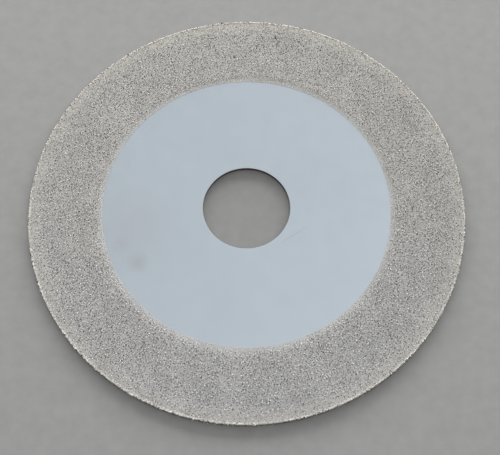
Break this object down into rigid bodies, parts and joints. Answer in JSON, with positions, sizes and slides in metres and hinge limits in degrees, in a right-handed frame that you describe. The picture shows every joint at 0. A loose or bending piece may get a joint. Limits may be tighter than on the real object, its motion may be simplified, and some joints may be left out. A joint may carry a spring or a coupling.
{
  "type": "diamond grinding wheel",
  "caption": "Thin flat steel grinding disc with a plain centre, an arbor hole and a coarse plated diamond band on both faces and the rim.",
  "frame": {"origin": "centre of the arbor hole, halfway through the steel core, which is the centre of the whole wheel", "axes": "+Z along the wheel's axis of rotation, out of its front face; +X and +Y in the plane of the wheel, alike because the wheel is round"},
  "size_m": [0.1, 0.1, 0.0016],
  "materials": {
    "plain_steel": "satin",
    "nickel": "matt, nodular",
    "diamond_grit": "rough, glinting"
  },
  "bodies": {
    "root": {"steel_core": "plain_steel", "nickel_bond": "nickel", "front_grit": "diamond_grit", "rim_grit": "diamond_grit", "back_grit": "diamond_grit"}
  },
  "joints": []
}
